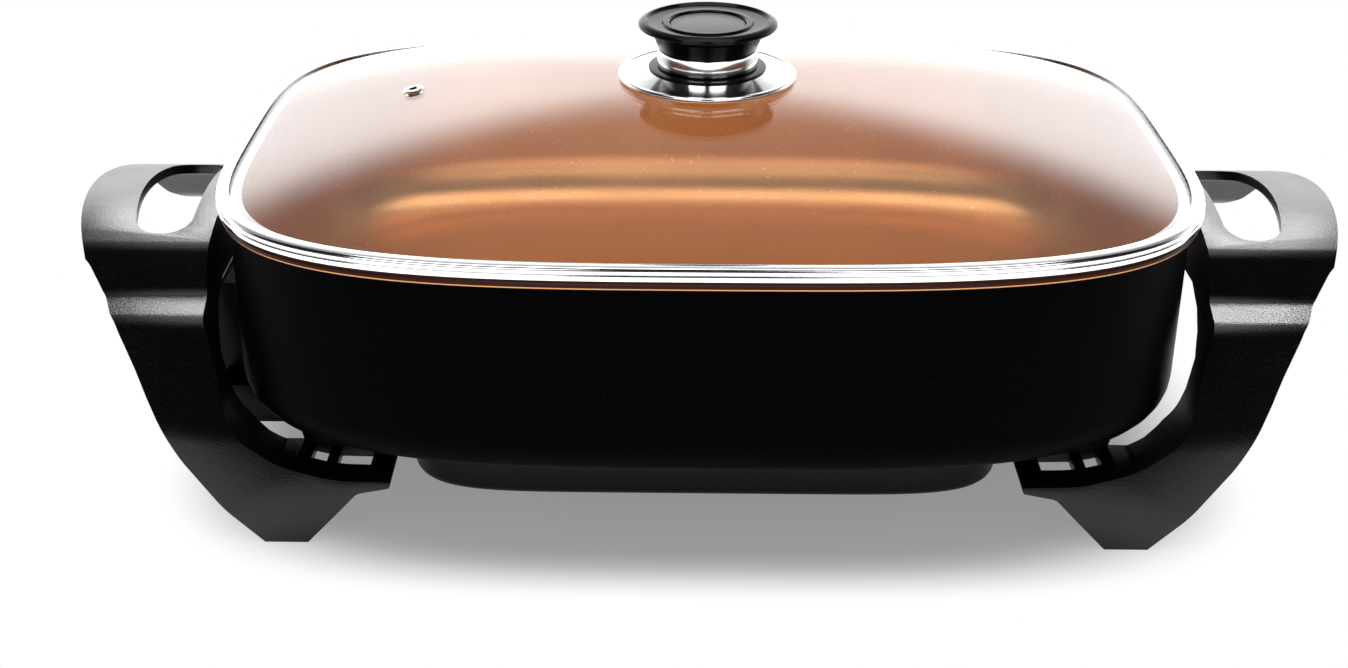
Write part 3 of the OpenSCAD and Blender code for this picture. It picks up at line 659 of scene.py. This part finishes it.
# Finger guard: a round chrome plated steel dish on top of the tube, pressed from sheet, that slopes down to
# a rolled edge and keeps the fingers off the hot glass.
SCREW_BORE = 3
GUARD_TOP = 171.3
GUARD_SHEET = 1.2
GUARD_CROWN = 24.5
GUARD_RADIUS = 38.5
ROLL_LOW = 167.05
ROLL_TOP = 169.4
guard_underside = [
    (SCREW_BORE, GUARD_TOP - GUARD_SHEET, 0), (GUARD_CROWN, GUARD_TOP - GUARD_SHEET, 10),
    (36.3, 167.7, 0.4)]
guard_rolled_edge = [
    (36.8, ROLL_LOW, 0.6), (GUARD_RADIUS, ROLL_LOW, 1), (GUARD_RADIUS, ROLL_TOP, 1), (36.6, ROLL_TOP, 0.6)]
guard_upper_side = [
    (36, 169.05, 0.6), (GUARD_CROWN, GUARD_TOP, 10), (SCREW_BORE, GUARD_TOP, 0)]
guard_profile = rounded(guard_underside + guard_rolled_edge + guard_upper_side, steps=6)
finger_guard = turned("finger_guard", guard_profile)
finger_guard.data.materials.append(polished_steel)
smooth(finger_guard, SHARP_EDGE)
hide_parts("knob_guard")
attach(finger_guard, "lid")

# Collar: the knob's chrome band, slipped over the stem of the grip. It stands on a thin black foot, whose
# faces get the plastic's finish.
COLLAR_BORE = 12
COLLAR_TOP = 180
COLLAR_NECK = 21.1
BAND_LOW = 172.6
BAND_RADIUS = 21.7
FOOT_RADIUS = 25.5
FOOT_HEIGHT = 0.7
collar_profile = rounded([
    (COLLAR_BORE, GUARD_TOP, 0), (FOOT_RADIUS, GUARD_TOP, 0.1), (FOOT_RADIUS - 0.1, GUARD_TOP + 0.6, 0.3),
    (COLLAR_NECK, GUARD_TOP + FOOT_HEIGHT, 0), (COLLAR_NECK, BAND_LOW, 0.1), (BAND_RADIUS, BAND_LOW, 0.3),
    (BAND_RADIUS + 0.1, COLLAR_TOP, 0.5), (COLLAR_BORE, COLLAR_TOP, 0)], steps=4)
collar = turned("knob_ferrule", collar_profile)
knob_plastic = grained_finish(
    "knob_plastic", dark=(0.0015, 0.0015, 0.0015), light=(0.004, 0.004, 0.0042),
    grains=1500, flecks=(0.5, 0.7), bump=0.005, rough=0.18, mirror=0.15)
collar.data.materials.append(polished_steel)
collar.data.materials.append(knob_plastic)
for face in collar.data.polygons:
    if face.center.z / MM < BAND_LOW - 0.01:
        face.material_index = 1
smooth(collar, SHARP_EDGE)
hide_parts("knob_collar")
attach(collar, "lid")

# Knob grip: a glossy black moulding, turned all round. Its stem goes down through the collar, its neck
# flares out under a ring for the fingers, and its top is hollowed for the disc.
KNOB_TOP = 192.3
STEM_RADIUS = 11.7
GRIP_RADIUS = 30
STEP_TOP = 191.5
HOLLOW_LOW = 189.3
HOLLOW_RADIUS = 16.3
grip_stem = [(SCREW_BORE, GUARD_TOP, 0), (STEM_RADIUS, GUARD_TOP, 0), (STEM_RADIUS, COLLAR_TOP, 0)]
grip_neck = [
    (COLLAR_NECK, COLLAR_TOP, 0.3), (BAND_RADIUS, 181.5, 2), (22.8, 184, 6), (24, 186.8, 5),
    (25.1, 188.7, 1)]
grip_ring = [
    (29.2, 189.3, 0.5), (GRIP_RADIUS, 190.1, 0.6), (29.6, 191.2, 0.6), (28.2, 192, 0.8),
    (26.8, KNOB_TOP, 0.4), (25.6, 191.1, 0.5)]
grip_hollow = [
    (19.7, 190.7, 0.2), (19.2, STEP_TOP, 0.3), (16.9, STEP_TOP, 0.3), (HOLLOW_RADIUS, 190.9, 0.2),
    (HOLLOW_RADIUS, HOLLOW_LOW, 0), (SCREW_BORE, HOLLOW_LOW, 0)]
knob = turned("knob_top", rounded(grip_stem + grip_neck + grip_ring + grip_hollow, steps=5), steps=128)
knob.data.materials.append(knob_plastic)
smooth(knob, SHARP_EDGE)
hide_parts("knob_grip")
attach(knob, "lid")

# Disc: a plain grey plastic button pressed into the hollow in the knob's top, over the head of the screw,
# with a softly rounded edge.
DISC_RADIUS = 16
DISC_TOP = 190.5
disc_profile = rounded([
    (0, HOLLOW_LOW, 0), (DISC_RADIUS, HOLLOW_LOW, 0.1), (DISC_RADIUS, DISC_TOP, 0.4), (0, DISC_TOP, 0)],
    steps=4)
disc = turned("knob_disc", disc_profile, steps=128)
disc_plastic = grained_finish(
    "disc_plastic", dark=(0.21, 0.21, 0.215), light=(0.29, 0.29, 0.295),
    grains=1500, flecks=(0.45, 0.7), bump=0.02, rough=0.4)
disc.data.materials.append(disc_plastic)
smooth(disc, SHARP_EDGE)
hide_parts("knob_cap")
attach(disc, "lid")

# Floor: a plain pale sweep that keeps the object's shadow in a bowed patch round its feet and fades into
# white outside it. For light that only bounces off it, it is plain and matt all over.
FLOOR_GREY = 0.62
FLOOR_GLOW = 0.27
SHADOW_HALF = (0.235, 0.152)
SHADOW_BOW = 3.5
SHADOW_FADE = (0.4, 1.15)
MIRRORED_WHITE = 1.7


def worked_out(tree, operation, *terms):
    """Output of a math node on numbers and other nodes' outputs."""
    node = add_node(tree, "Math", operation=operation)
    for place, term in enumerate(terms):
        if isinstance(term, (int, float)):
            node.inputs[place].default_value = term
        else:
            tree.links.new(term, node.inputs[place])
    return node.outputs["Value"]


nothing_selected()
bpy.ops.mesh.primitive_circle_add(vertices=128, radius=6, fill_type="NGON")
studio_floor = bpy.context.object
studio_floor.name = "studio_floor"
floor_white, tree, shader = blank_finish("floor_white")
set_inputs(shader, {"Base Color": (FLOOR_GREY, FLOOR_GREY, FLOOR_GREY, 1), "Roughness": 0.6,
                    "Specular IOR Level": 0, "Emission Color": (1, 1, 1, 1),
                    "Emission Strength": FLOOR_GLOW})
spot = add_node(tree, "TexCoord")
spread = add_node(tree, "VectorMath", {1: (*SHADOW_HALF, 1)}, operation="DIVIDE")
tree.links.new(spot.outputs["Object"], spread.inputs[0])
apart = add_node(tree, "SeparateXYZ")
tree.links.new(spread.outputs["Vector"], apart.inputs["Vector"])
along, across = [
    worked_out(tree, "POWER", worked_out(tree, "ABSOLUTE", apart.outputs[axis]), SHADOW_BOW)
    for axis in ("X", "Y")]
fade = remapped(tree, worked_out(tree, "ADD", along, across), SHADOW_FADE, soft=True)
rays = add_node(tree, "LightPath")
white = add_node(tree, "Emission")
tree.links.new(remapped(tree, rays.outputs["Is Glossy Ray"], (0, 1), (1, MIRRORED_WHITE)),
               white.inputs["Strength"])
sweep = mixed(tree, fade, shader.outputs["BSDF"], white.outputs["Emission"])
plain = add_node(tree, "BsdfDiffuse", {"Color": (0.8, 0.8, 0.8, 1)})
seen = worked_out(tree, "MAXIMUM", rays.outputs["Is Camera Ray"], rays.outputs["Is Glossy Ray"])
seen = worked_out(tree, "MAXIMUM", seen, rays.outputs["Is Transmission Ray"])
tree.links.new(mixed(tree, seen, plain.outputs["BSDF"], sweep),
               tree.nodes["Material Output"].inputs["Surface"])
studio_floor.data.materials.append(floor_white)

# Room: even ambient light, and for metal and glass a room with a bright back wall that is dark in front,
# where the black pieces mirror it, and dimmer towards the ceiling. The camera sees a plain pale backdrop.
AMBIENT = 0.25
FRONT_LIGHT = 0.05
BACK_WALL_LIGHT = 2.5
BACK_WALL_SPAN = (0, 0.6)
CEILING_SHARE = 0.2
CEILING_SPAN = (0.27, 0.6)
SHARE_THROUGH_GLASS = 0.9
room = bpy.data.worlds.new("white_room")
bpy.context.scene.world = room
room.use_nodes = True
tree = room.node_tree
ambient = tree.nodes["Background"]
set_inputs(ambient, {"Color": (1, 1, 1, 1), "Strength": AMBIENT})
around = add_node(tree, "TexCoord")
parts = add_node(tree, "SeparateXYZ")
tree.links.new(around.outputs["Generated"], parts.inputs["Vector"])
back_wall = remapped(tree, parts.outputs["Y"], BACK_WALL_SPAN, (FRONT_LIGHT, BACK_WALL_LIGHT), soft=True)
ceiling = remapped(tree, parts.outputs["Z"], CEILING_SPAN, (1, CEILING_SHARE), soft=True)
rays = add_node(tree, "LightPath")
through_glass = remapped(tree, rays.outputs["Is Transmission Ray"], (0, 1), (1, SHARE_THROUGH_GLASS))
wall_light = worked_out(tree, "MULTIPLY", worked_out(tree, "MULTIPLY", back_wall, ceiling), through_glass)
mirrored = add_node(tree, "Background")
tree.links.new(wall_light, mirrored.inputs["Strength"])
indirect = worked_out(tree, "MAXIMUM", rays.outputs["Is Glossy Ray"], rays.outputs["Is Transmission Ray"])
shiny = mixed(tree, indirect, ambient.outputs["Background"], mirrored.outputs["Background"])
backdrop = add_node(tree, "Background")
tree.links.new(mixed(tree, rays.outputs["Is Camera Ray"], shiny, backdrop.outputs["Background"]),
               tree.nodes["World Output"].inputs["Surface"])


# Lamps: one softbox lights everything from above. The others reach only some of the pieces, so the glass
# doesn't mirror them: two from behind the handles, two in front for the knob and the rim, two for the pan.
def softbox(name, size, place, target, watts):
    lamp = bpy.data.lights.new(name, "AREA")
    lamp.shape = "RECTANGLE"
    lamp.size, lamp.size_y = size
    lamp.energy = watts
    holder = bpy.data.objects.new(name, lamp)
    bpy.context.scene.collection.objects.link(holder)
    holder.location = place
    holder.rotation_euler = (Vector(target) - Vector(place)).to_track_quat("-Z", "Y").to_euler()
    return holder


def reach_only(lamps, *names):
    lit = bpy.data.collections.new(lamps[0].name + "_lights")
    for name in names:
        lit.objects.link(bpy.data.objects[name])
    for lamp in lamps:
        lamp.light_linking.receiver_collection = lit


softbox("overhead_softbox", size=(1.4, 0.7), place=(0, 0, 1.5), target=(0, 0, 0.1), watts=8)
handle_lamps = [
    softbox("crown_softbox", size=(2.4, 0.6), place=(0, 1.2, 0.72), target=(0, 0, 0.12), watts=16),
    softbox("shelf_softbox", size=(1.7, 0.25), place=(0.1, 0.95, 1.3), target=(0, 0, 0.1), watts=55)]
reach_only(handle_lamps, "grip_left", "grip_right")
knob_lamps = [
    softbox("window_left", size=(1.0, 0.8), place=(-0.67, -1.35, 0.95), target=(0, 0, 0.17), watts=6),
    softbox("window_right", size=(1.0, 0.8), place=(0.67, -1.35, 0.95), target=(0, 0, 0.17), watts=6)]
reach_only(knob_lamps, "knob_top", "finger_guard", "knob_ferrule", "rolled_rim")
copper_lamps = [
    softbox("low_front_softbox", size=(1.0, 0.3), place=(0, -1.3, 0.55), target=(0, 0.05, 0.1), watts=9),
    softbox("top_softbox", size=(1.6, 0.9), place=(0, -0.65, 1.4), target=(0, -0.2, 0.1), watts=20)]
reach_only(copper_lamps, "cast_pan")

# Camera: on a tripod in front of the skillet and above it, looking down, turned slightly to its left and
# with its lens shifted a little.
LENS = 51.30
SENSOR_WIDTH = 36
SHIFT = (0.0244, 0.0096)
TRIPOD_PLACE = (-0.01449, -0.80038, 0.4249)
DEGREES_DOWN = 25.9
DEGREES_LEFT = 1.01
lens = bpy.data.cameras.new("view")
lens.sensor_width = SENSOR_WIDTH
lens.lens = LENS
lens.shift_x, lens.shift_y = SHIFT
lens.clip_start = 0.01
tripod = bpy.data.objects.new("view", lens)
bpy.context.scene.collection.objects.link(tripod)
tripod.location = TRIPOD_PLACE
tripod.rotation_euler = (math.radians(90 - DEGREES_DOWN), 0, math.radians(DEGREES_LEFT))
bpy.context.scene.camera = tripod
bpy.context.scene.view_settings.view_transform = "Standard"
